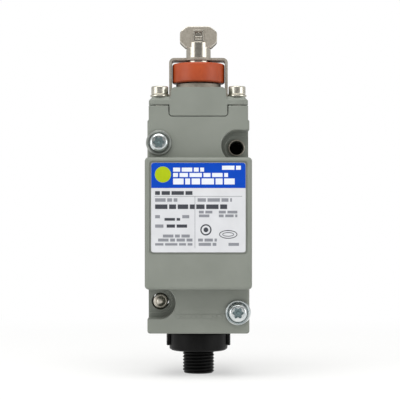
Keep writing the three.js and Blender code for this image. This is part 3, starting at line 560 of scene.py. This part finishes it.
CUP_LIP_MM = 0.32
PLUG_DRIVE_MM = 2.2
PLUG_DRIVE_DEPTH = 1.6
POST_MM = 0.6
for i in (1, 2):
    low, high = span(f"cup_washer_{i}")
    centre = ((low.x + high.x) / 2, (low.z + high.z) / 2)
    outer = (high.x - low.x) / 2
    head_low, head_high = span(f"plug_in_screw_{i}")
    head = (head_high.x - head_low.x) / 2
    cup = [(head * 0.68, high.y), (outer, high.y), (outer, high.y - 0.4), (outer - CUP_LIP_MM, low.y),
           (outer - 2 * CUP_LIP_MM, low.y), (head + 0.12, low.y + 0.55), (head + 0.12, high.y - 0.5),
           (head * 0.68, high.y - 0.5)]
    settle(turned(f"cup_washer_{i}_pressed", softened(cup, 0.3, True), centre, "Y", closed=True),
           (grey_zinc, zinc)[i - 1], "housing", "zinc_plate", f"cup_washer_{i}")
    shank = head * 0.6
    top = head_low.y
    body = softened([(0, head_high.y), (shank, head_high.y), (shank, high.y - 0.55), (head, high.y - 0.55),
                     (head, top + 0.7), (head - 0.7, top), (0, top)], 0.5)
    drive = prism("drive", lobes(centre, PLUG_DRIVE_MM), top - 1, top + PLUG_DRIVE_DEPTH)
    screw = carved(turned(f"plug_in_screw_{i}_headed", body, centre, "Y"), drive)
    settle(leveled(screw), zinc, "housing", "zinc_plate", f"plug_in_screw_{i}")
    # The drive's walls and floor carry the painted shade.
    second_finish(screw, painted_drive_shade_zinc, lambda spot, normal: (
        top + 0.05 < spot.y < top + PLUG_DRIVE_DEPTH + 0.05
        and (spot.xz - Vector(centre)).length < PLUG_DRIVE_MM + 0.05))
    post_foot, post_top = top + PLUG_DRIVE_DEPTH + 0.1, top + 0.55
    post = softened([(0, post_foot), (POST_MM, post_foot), (POST_MM, post_top), (0, post_top)], 0.15)
    # The post is painted darker still, as shade at the bottom of the drive.
    settle(turned(f"drive_post_{i}", post, centre, "Y", sides=32),
           painted_post_shade_zinc, "housing", "zinc_plate", f"plug_in_screw_{i}")

# ---------------------------------------------------------------------------------------
# End of the lower mounting screw, and the lip of the upper mounting hole. Stainless steel:
# the screw's end is machined to a dome, and the lip stands inside its spot face, its bright bare steel a
# painted highlight on the hole's chamfer.

STEEL = ("#BDB6AA", "#D6D1C6")
TUMBLED = ("#9B958A", "#B1ABA0")


def steel(name, tones, stretch, roughness):
    """Stainless steel whose fine marks are drawn out by a stretch along each axis."""
    made, tree, shader, place = surface(name)
    drawn = add(tree, "ShaderNodeMapping", {"Scale": stretch}, {"Vector": place}).outputs[0]
    marks = noise(tree, drawn, 0.5, 3.0)
    tree.links.new(ramp(tree, marks, [(0.3, tones[0]), (0.7, tones[1])]), shader.inputs["Base Color"])
    tree.links.new(scaled(tree, marks, *roughness), shader.inputs["Roughness"])
    tree.links.new(relief(tree, marks, 0.01, 0.25), shader.inputs["Normal"])
    shader.inputs["Metallic"].default_value = 1.0
    return made


machined_steel = steel("machined_stainless_steel", STEEL, (1.0, 1.0, 1.0), (0.28, 0.38))
ground_steel = steel("tumbled_stainless_steel", TUMBLED, (1.0, 1.0, 1.0), (0.52, 0.64))

low, high = span("mounting_screw")
centre = ((low.x + high.x) / 2, (low.z + high.z) / 2)
radius = (high.x - low.x) / 2
end = [(0, high.y), (radius, high.y), (radius, low.y + 1.9), (radius - 0.45, low.y + 1.4),
       (radius - 1.0, low.y + 1.4), (radius - 1.35, low.y + 0.5), (0.9, low.y), (0, low.y)]
settle(turned("mounting_screw_end", softened(end, 0.5), centre, "Y"),
       machined_steel, "housing", "stainless_steel", "mounting_screw")

SPOT_FACE = -24.2
LIP_MM = 0.55
low, high = span("mounting_hole_plug")
centre = ((low.x + high.x) / 2, (low.z + high.z) / 2)
bore = (high.x - low.x) / 2 + 0.1
lip_foot, lip_top = SPOT_FACE + 0.2, SPOT_FACE - 0.38
lip = [(bore, lip_foot), (bore + LIP_MM, lip_foot), (bore + LIP_MM, lip_top), (bore, lip_top)]
# The lip's bright bare steel is a painted highlight on the painted chamfer round the hole.
settle(turned("mounting_hole_highlight_lip", softened(lip, 0.2, True), centre, "Y", True),
       ground_steel, "housing", "grey_paint", "receptacle_housing")

# ---------------------------------------------------------------------------------------
# Guide bush and guide strap. Stainless steel, ground and tumbled to a dull sheen. The bush
# is turned, and the strap is bent from one strip that widens to a ring round the neck.

NECK_MM = 4.8
BUSH_BODY_MM = 6.3
low, high = span("guide_bush")
axis = (low.xy + high.xy) / 2
flange = (high.x - low.x) / 2
flange_foot = span("head_casting")[1].z + 0.05
bush = [(NECK_MM + 0.1, low.z), (BUSH_BODY_MM, low.z), (BUSH_BODY_MM, flange_foot), (flange, flange_foot),
        (flange, high.z), (NECK_MM + 0.1, high.z)]
settle(turned("guide_bush_turned", softened(bush, 0.35, True), axis, closed=True),
       ground_steel, "housing", "stainless_steel", "guide_bush")

THICK = 1.0
STRIP_HALF_MM = 4.0
OUTER_BEND = 1.9
DISC_MM = 6.5
DISC_HOLE_MM = 5.0
low, high = span("guide_strap")
outer = (high.x - low.x) / 2


def arc(centre, radius, start, stop, steps=10):
    """Points on an arc between two angles in degrees."""
    angles = [math.radians(start + (stop - start) * i / steps) for i in range(steps + 1)]
    return [(centre[0] + radius * math.cos(a), centre[1] + radius * math.sin(a)) for a in angles]


bend = outer - OUTER_BEND
level = high.z - OUTER_BEND
strip = ([(-outer, low.z)] + arc((-bend, level), OUTER_BEND, 180, 90) + arc((bend, level), OUTER_BEND, 90, 0)
         + [(outer, low.z), (outer - THICK, low.z)] + arc((bend, level), OUTER_BEND - THICK, 0, 90)
         + arc((-bend, level), OUTER_BEND - THICK, 90, 180) + [(THICK - outer, low.z)])
strap = prism("guide_strap_bent", strip, axis.y - STRIP_HALF_MM, axis.y + STRIP_HALF_MM)
disc = [(0, high.z - THICK), (DISC_MM, high.z - THICK), (DISC_MM, high.z), (0, high.z)]
middle = turned("middle", disc, axis)
drill = [(0, high.z - 3), (DISC_HOLE_MM, high.z - 3), (DISC_HOLE_MM, high.z + 1), (0, high.z + 1)]
hole = turned("hole", drill, axis)
carved(strap, middle, operation="UNION")
carved(strap, hole)
settle(edged(strap, 0.18), ground_steel, "housing", "stainless_steel", "guide_strap")

# ---------------------------------------------------------------------------------------
# Roller plunger, roller and pin. Stainless steel: the stem and the roller are turned and keep
# fine rings round the axis, and the fork's two flats are milled after turning.

turned_steel = steel("turned_stainless_steel", STEEL, (0.3, 0.3, 4.0), (0.16, 0.26))

low, high = span("roller_plunger")
pin_low, pin_high = span("roller_pin")
roller_low, roller_high = span("roller")
pin_level = (roller_low.z + roller_high.z) / 2
fork_half = (high.x - low.x) / 2
FORK_HEIGHT = 8.3
FLAT = 3.95
SLOT_HALF = 1.9
SPIGOT_MM = 3.7
SPIGOT_LENGTH = 2.1
SHOULDER_MM = 5.8
SHOULDER_LENGTH = 1.2
PIN_BORE_MM = 1.6
fork_low = high.z - FORK_HEIGHT
right = [(NECK_MM, fork_low), (fork_half - 0.4, fork_low + 1.95), (fork_half, fork_low + 2.5),
         (fork_half, high.z - 2.7), (fork_half - 0.4, high.z - 1.9), (fork_half - 2.9, high.z)]
ears = softened(right + [(-x, z) for x, z in reversed(right)], 0.7, True)
fork = prism("roller_plunger_forked", ears, axis.y - FLAT, axis.y + FLAT)
edged(fork, 0.3, 3, 50)
carved(fork)
shoulder_foot = low.z + SPIGOT_LENGTH
shoulder_top = shoulder_foot + SHOULDER_LENGTH
neck_top = fork_low + 2.2
stem_profile = [(0, low.z), (SPIGOT_MM, low.z), (SPIGOT_MM, shoulder_foot), (SHOULDER_MM, shoulder_foot),
                (SHOULDER_MM, shoulder_top), (NECK_MM, shoulder_top), (NECK_MM, neck_top), (0, neck_top)]
stem = turned("stem", softened(stem_profile, 0.2), axis)
slot_low = pin_level - 5.0
slot = prism("slot", [(-20, slot_low), (20, slot_low), (20, high.z + 5), (-20, high.z + 5)],
             axis.y - SLOT_HALF, axis.y + SLOT_HALF)
drill = [(0, axis.y - 9), (PIN_BORE_MM, axis.y - 9), (PIN_BORE_MM, axis.y + 9), (0, axis.y + 9)]
pin_hole = turned("pin_hole", drill, (0, pin_level), "Y", sides=48)
carved(fork, stem, operation="UNION")
carved(fork, slot, pin_hole)
settle(leveled(fork), turned_steel, "plunger", "stainless_steel", "roller_plunger")
second_finish(fork, ground_steel, lambda spot, normal: (
    spot.z > fork_low and abs(abs(spot.y - axis.y) - FLAT) < 0.02))

# The pin's front end is square with a punched window, its rear end is riveted over.
PIN_EDGE = 0.18
PIN_HALF = 2.05
PIN_FOOT = -2.15
PIN_TOP = 2.35
PIN_SHANK_MM = 1.5
RIVET_MM = 2.2
WINDOW_HALF = 1.4
WINDOW_SKIN = 0.08
# The floors of the punched windows are painted dark, as shade inside them.
painted_window_shade_steel = steel("dark_painted_window_shade_steel", ("#5E564E", "#70675C"), (1.0, 1.0, 1.0), (0.5, 0.6))
face = axis.y - FLAT - 0.05


def rectangle(x0, z0, x1, z1):
    """The corners of a rectangle, in order."""
    return [(x0, z0), (x1, z0), (x1, z1), (x0, z1)]


square = rectangle(-PIN_HALF, pin_level + PIN_FOOT, PIN_HALF, pin_level + PIN_TOP)
head = prism("roller_pin_head", softened(square, 0.5, True), pin_low.y, face)


def window(foot, top):
    """A cutter for a punched window in the pin's head."""
    outline = rectangle(-WINDOW_HALF, pin_level + foot, WINDOW_HALF, pin_level + top)
    return prism("window", softened(outline, 0.3, True), pin_low.y - 1, face - WINDOW_SKIN)


carved(head, window(-0.15, 1.75), window(-1.15, -0.75))
settle(edged(head, 0.1), turned_steel, "plunger", "stainless_steel", "roller_pin")
# Painted shade on the windows' floors.
second_finish(head, painted_window_shade_steel, lambda spot, normal: spot.y > face - 0.12 and abs(normal.y) > 0.9)
rear = axis.y + FLAT + 0.05
rivet = [(0, face - 0.1), (PIN_SHANK_MM, face - 0.1), (PIN_SHANK_MM, rear), (RIVET_MM, rear),
         (RIVET_MM, pin_high.y - 0.1), (RIVET_MM - 0.6, pin_high.y), (0, pin_high.y)]
settle(turned("roller_pin_shank", softened(rivet, PIN_EDGE), (0, pin_level), "Y", sides=48),
       turned_steel, "plunger", "stainless_steel", "roller_pin")

radius = (roller_high.x - roller_low.x) / 2
tread = rectangle(PIN_BORE_MM, roller_low.y, radius, roller_high.y)
settle(turned("roller_hardened", softened(tread, 0.35, True), (0, pin_level), "Y", True),
       turned_steel, "roller", "stainless_steel", "roller")

# ---------------------------------------------------------------------------------------
# Boot ring and stem seal. The ring round the neck is moulded orange silicone with a soft
# sheen, pressed over a black nitrile lip seal.

silicone, tree, shader, place = surface("orange_silicone_rubber")
tree.links.new(ramp(tree, noise(tree, place, 3.0, 3.0), [(0.3, "#A8431B"), (0.7, "#AF4A20")]),
               shader.inputs["Base Color"])
tree.links.new(relief(tree, noise(tree, place, 0.25), 0.01, 0.3), shader.inputs["Normal"])
shader.inputs["Roughness"].default_value = 0.4
shader.inputs["Specular IOR Level"].default_value = 0.45

BOOT_WALL = 2.6
BOOT_LIP = 2
lip_bore = NECK_MM + 0.4
low, high = span("boot_ring")
outer = (high.x - low.x) / 2
ring = [(outer - BOOT_WALL, low.z), (outer, low.z), (outer, high.z), (lip_bore, high.z),
        (lip_bore, high.z - BOOT_LIP), (outer - BOOT_WALL, high.z - BOOT_LIP)]
settle(turned("boot_ring_moulded", softened(ring, 0.7, True), axis, closed=True),
       silicone, "housing", "orange_silicone", "boot_ring")

nitrile, tree, shader, place = surface("black_nitrile_rubber")
tree.links.new(ramp(tree, noise(tree, place, 2.0, 3.0), [(0.3, "#161616"), (0.7, "#1E1E1E")]),
               shader.inputs["Base Color"])
shader.inputs["Roughness"].default_value = 0.75
shader.inputs["Specular IOR Level"].default_value = 0.3

# ---------------------------------------------------------------------------------------
# Nameplate. A white film with a blue band, printed with plain marks where a maker would
# put words: bars of ink for lines of text, two rules, a ring and a round spot of colour.


INK_SHADE = 0.97


def ink(name, code, roughness):
    """Printed film or ink, slightly uneven in colour and gloss."""
    made, tree, shader, place = surface(name)
    cloud = noise(tree, place, 5.0, 3.0)
    shaded = "#%02X%02X%02X" % tuple(int(int(code[i:i + 2], 16) * INK_SHADE) for i in (1, 3, 5))
    tree.links.new(ramp(tree, cloud, [(0.3, shaded), (0.7, code)]), shader.inputs["Base Color"])
    tree.links.new(scaled(tree, cloud, roughness, roughness + 0.08), shader.inputs["Roughness"])
    shader.inputs["Specular IOR Level"].default_value = 0.15
    return made


film = ink("white_polyester_film", "#D6D7DA", 0.34)
blue_ink = ink("blue_printing_ink", "#0545B6", 0.36)
dark_ink = ink("dark_printing_ink", "#44464C", 0.5)
grey_ink = ink("grey_printing_ink", "#8B8D93", 0.5)
white_ink = ink("white_printing_ink", "#E4E8EE", 0.45)
lime_ink = ink("lime_printing_ink", "#A9BC12", 0.45)

low, high = span("nameplate")
FILM_FRONT = low.y + 0.05
CORNER = 1.0


label = softened(rectangle(low.x, low.z, high.x, high.z), CORNER, True)
settle(edged(prism("nameplate_film", label, high.y, FILM_FRONT), 0.06),
       film, "housing", "nameplate_face", "nameplate")

BAND_FOOT = 13.55
BAND_MARGIN = 0.05
band_outline = ([(low.x + BAND_MARGIN, BAND_FOOT), (high.x - BAND_MARGIN, BAND_FOOT)]
                + arc((high.x - CORNER, high.z - CORNER), CORNER - BAND_MARGIN, 0, 90, 6)
                + arc((low.x + CORNER, high.z - CORNER), CORNER - BAND_MARGIN, 90, 180, 6))
band = prism("nameplate_band", band_outline, FILM_FRONT, FILM_FRONT - 0.01)
settle(band, blue_ink, "housing", "nameplate_face", "nameplate")


def printed(name, outlines, lift, material):
    """Flat marks of ink in one mesh, a little proud of the film."""
    shape = bmesh.new()
    for outline in outlines:
        front = [shape.verts.new(Vector((x, FILM_FRONT - lift, z)) * MM) for x, z in outline]
        shape.faces.new(front)
    bmesh.ops.recalc_face_normals(shape, faces=shape.faces)
    for face in shape.faces:
        if face.normal.y > 0:
            face.normal_flip()
    mesh = bpy.data.meshes.new(name)
    shape.to_mesh(mesh)
    shape.free()
    return settle(link(name, mesh), material, "housing", "nameplate_face", "nameplate")


BAR_GAP = 0.6
BAR_LENGTHS = (2.6, 3.9, 1.8, 3.1, 4.6)


def bars(*lines):
    """Solid bars of ink of uneven length, where a maker would print lines of words.

    Each line is its two ends, its height on the label, the bars' height, and which length
    comes first.
    """
    made = []
    for x0, x1, z, height, first in lines:
        at, i = x0, first
        while at < x1 - BAR_GAP:
            stop = min(at + BAR_LENGTHS[i % len(BAR_LENGTHS)], x1)
            made.append(rectangle(at, z - height / 2, stop, z + height / 2))
            at, i = stop + BAR_GAP, i + 1
    return made


LIFT = 0.02
printed("print_on_band", bars((-9.4, 2.1, 20.4, 1.5, 0), (-9.4, 11.0, 18.4, 1.5, 2),
                              (8.8, 15.8, 21.1, 1.5, 4)), LIFT, white_ink)
SPOT = (-13.2, 18.6)
SPOT_MM = 3.0
printed("print_spot", [arc(SPOT, SPOT_MM, 0, 360, 48)[:-1]], LIFT, lime_ink)
rules = [rectangle(-16.3, 10.36, 16.3, 10.54), rectangle(-1.36, -8.8, -1.2, 10.4)]
printed("print_rules", rules, LIFT, grey_ink)
left_rows = bars(
    (-16.1, -7.8, 9.1, 1.3, 1), (-16.1, -13.2, 2.9, 1.2, 2), (-6.0, -3.2, 2.9, 1.2, 5),
    (-16.1, -13.0, -0.6, 1.2, 4), (-13.2, -2.2, -4.3, 1.1, 1), (-15.0, -2.2, -5.8, 1.1, 6),
    (-16.1, -2.2, -7.4, 0.9, 3))
right_rows = bars(
    (-0.3, 12.5, 9.1, 1.3, 3), (0.2, 5.2, 4.6, 1.0, 2), (7.6, 14.5, 4.6, 1.0, 5),
    (0.2, 5.2, 3.2, 1.0, 1), (7.6, 14.5, 3.2, 1.0, 7), (-0.1, 6.9, -5.8, 1.1, 2),
    (0.1, 6.7, -7.4, 1.1, 4), (11.2, 15.1, -7.4, 1.1, 1))
printed("print_rows", left_rows + right_rows, LIFT, grey_ink)
bold_rows = bars(
    (-16.1, -1.6, 11.7, 1.4, 2), (-16.1, 11.5, 6.6, 1.7, 4), (-12.6, -6.8, 1.9, 1.0, 1),
    (-11.8, -4.2, -0.6, 1.2, 3))
printed("print_bold", bold_rows, LIFT, dark_ink)
printed("print_heading", bars((-9.4, 14.2, 16.0, 2.2, 1)), LIFT, white_ink)


def oval(centre, wide, tall, line, steps=40):
    """An oval outline, or a round one, as quadrilaterals."""
    rims = [[(centre[0] + (wide - d) * math.cos(a), centre[1] + (tall - d) * math.sin(a))
             for a in (2 * math.pi * i / steps for i in range(steps + 1))] for d in (0, line)]
    return [[rims[0][i], rims[0][i + 1], rims[1][i + 1], rims[1][i]] for i in range(steps)]


TARGET = (2.8, -2.0)
LOZENGE = (11.1, -3.7)
marks = oval(TARGET, 2.1, 2.1, 0.5) + [arc(TARGET, 0.9, 0, 360, 24)[:-1]]
marks += oval(LOZENGE, 3.4, 1.6, 0.3) + oval(LOZENGE, 2.2, 0.8, 0.25)
printed("print_marks", marks, LIFT, dark_ink)

# ---------------------------------------------------------------------------------------
# Lock clip, connector adapter, insert and pins. Glass filled nylon, moulded black with a
# low sheen; the thread is moulded with it, and the pins are gold-coloured brass.

nylon, tree, shader, place = surface("moulded_black_nylon")
tree.links.new(ramp(tree, noise(tree, place, 4.0, 3.0), [(0.3, "#050505"), (0.7, "#0A0A0A")]),
               shader.inputs["Base Color"])
tree.links.new(scaled(tree, noise(tree, place, 1.0), 0.36, 0.48), shader.inputs["Roughness"])
tree.links.new(relief(tree, noise(tree, place, 0.2), 0.006, 0.3), shader.inputs["Normal"])
shader.inputs["Specular IOR Level"].default_value = 0.16

STUB_MM = 8.7
COLLAR_HEIGHT = 7.0
CLIP_THICK = 1.25
THREAD_MM = 6.15
THREAD_DEPTH = 0.5
PITCH = 1.27
SOCKET = 4.3
low, high = span("connector_adapter")
stem_axis = (low.xy + high.xy) / 2
collar = (high.x - low.x) / 2
collar_top = span("lock_clip")[1].z - CLIP_THICK
collar_foot = collar_top - COLLAR_HEIGHT
root = THREAD_MM - THREAD_DEPTH
collar_profile = [(SOCKET, high.z), (STUB_MM, high.z), (STUB_MM, collar_top), (collar, collar_top),
                  (collar, collar_foot + 0.7), (collar - 1.0, collar_foot), (root - 0.05, collar_foot),
                  (root - 0.05, collar_foot - 0.6), (SOCKET, collar_foot - 0.6)]
settle(turned("connector_collar", softened(collar_profile, 0.35, True), stem_axis, closed=True, sides=128),
       nylon, "housing", "black_plastic", "connector_adapter")


def threaded(name, top, foot, centre, sides=96, per_turn=14):
    """A helical thread on a hollow stub, faded out at both ends."""
    shape = bmesh.new()
    rows = int((top - foot) / PITCH * per_turn)
    grid = []
    for row in range(rows + 1):
        z = foot + (top - foot) * row / rows
        fade = min(1.0, (z - foot) / 0.7, (top - z) / 0.5)
        ring = []
        for i in range(sides):
            turn = i / sides
            phase = ((z - foot) / PITCH - turn) % 1.0
            crest = min(1.0, max(0.0, 1.35 - 2.7 * abs(phase - 0.5)))
            radius = root - 0.12 * (1 - max(fade, 0.0)) + THREAD_DEPTH * crest * max(fade, 0.0)
            spot = Vector((centre[0] + radius * math.cos(2 * math.pi * turn),
                           centre[1] + radius * math.sin(2 * math.pi * turn), z))
            ring.append(shape.verts.new(spot * MM))
        grid.append(ring)
    bore = [(centre[0] + SOCKET * math.cos(2 * math.pi * i / sides),
             centre[1] + SOCKET * math.sin(2 * math.pi * i / sides)) for i in range(sides)]
    bore_top, bore_foot = [[shape.verts.new(Vector((x, y, z)) * MM) for x, y in bore] for z in (top, foot)]
    loops = [bore_foot] + grid + [bore_top]
    for a, b in list(zip(loops, loops[1:])) + [(bore_top, bore_foot)]:
        for i in range(sides):
            j = (i + 1) % sides
            shape.faces.new([a[i], a[j], b[j], b[i]])
    return solid(name, shape, 50)


settle(threaded("connector_thread", collar_foot - 0.4, low.z, stem_axis),
       nylon, "housing", "black_plastic", "connector_adapter")

CLIP_EDGE_MM = 0.2
clip = casting("lock_clip_moulded", "lock_clip")
clip.modifiers["rounding"].width = CLIP_EDGE_MM * MM
settle(clip, nylon, "housing", "black_plastic", "lock_clip")

# ---------------------------------------------------------------------------------------
# Brass, copper and phenolic pieces inside, the gaskets, and the two coil springs. They are
# seen only with the housings off, so the CAD shapes are kept and given their materials.

brass, tree, shader, place = surface("drawn_brass")
tree.links.new(ramp(tree, noise(tree, place, 2.0, 3.0), [(0.3, "#C09A4E"), (0.7, "#D2B068")]),
               shader.inputs["Base Color"])
tree.links.new(scaled(tree, noise(tree, place, 0.8), 0.22, 0.36), shader.inputs["Roughness"])
shader.inputs["Metallic"].default_value = 1.0

copper, tree, shader, place = surface("rolled_copper")
tree.links.new(ramp(tree, noise(tree, place, 2.0, 3.0), [(0.3, "#AE6E48"), (0.7, "#C08560")]),
               shader.inputs["Base Color"])
tree.links.new(scaled(tree, noise(tree, place, 0.8), 0.26, 0.4), shader.inputs["Roughness"])
shader.inputs["Metallic"].default_value = 1.0

phenolic, tree, shader, place = surface("brown_phenolic_moulding")
tree.links.new(ramp(tree, noise(tree, place, 0.5, 4.0), [(0.35, "#34251C"), (0.7, "#48362A")]),
               shader.inputs["Base Color"])
tree.links.new(scaled(tree, noise(tree, place, 2.0), 0.4, 0.55), shader.inputs["Roughness"])

kept = {"brass": brass, "copper": copper, "brown_moulding": phenolic, "black_plastic": nylon,
        "black_rubber": nitrile, "stainless_steel": ground_steel, "zinc_plate": zinc,
        "grey_paint": enamel, "orange_silicone": silicone, "nameplate_face": film}
for row in frame["record"]["subparts"]:
    part = frame["nodes"][row["node"]]
    part.data.materials.clear()
    part.data.materials.append(kept[row["material_slot"]])


def coil(name, node, mean, wire, turns, wire_sides=10, per_turn=40):
    """A round wire wound between a node's ends, its end coils closed flat."""
    low, high = span(node)
    foot, top = low.z + wire / 2, high.z - wire / 2
    closed = wire * 1.02
    steps = int(turns * per_turn)
    shape = bmesh.new()
    rings = []
    for step in range(steps + 1):
        turn = step / steps * turns
        rise = min(turn, 1.0) * closed * 0.5 + max(0.0, min(1.0, turn - turns + 1)) * closed * 0.5
        open_part = max(0.0, min(turn, turns - 1) - 1) / (turns - 2)
        z = foot + rise + open_part * (top - foot - closed)
        angle = 2 * math.pi * turn
        outward = Vector((math.cos(angle), math.sin(angle), 0))
        middle = Vector((axis.x, axis.y, z)) + outward * mean
        rings.append([shape.verts.new((middle + outward * (wire / 2) * math.cos(a)
                                       + Vector((0, 0, wire / 2)) * math.sin(a)) * MM)
                      for a in (2 * math.pi * i / wire_sides for i in range(wire_sides))])
    for a, b in zip(rings, rings[1:]):
        for i in range(wire_sides):
            j = (i + 1) % wire_sides
            shape.faces.new([a[i], a[j], b[j], b[i]])
    shape.faces.new(rings[0])
    shape.faces.new(rings[-1])
    return solid(name, shape, 50)


wound = coil("return_spring_wound", "return_spring", 4.6, 0.8, 5.0)
settle(wound, turned_steel, "housing", "stainless_steel", "return_spring")
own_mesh(wound)
wound = coil("carrier_spring_wound", "carrier_spring", 1.5, 0.5, 6.5)
settle(wound, turned_steel, "housing", "stainless_steel", "carrier_spring")
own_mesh(wound)
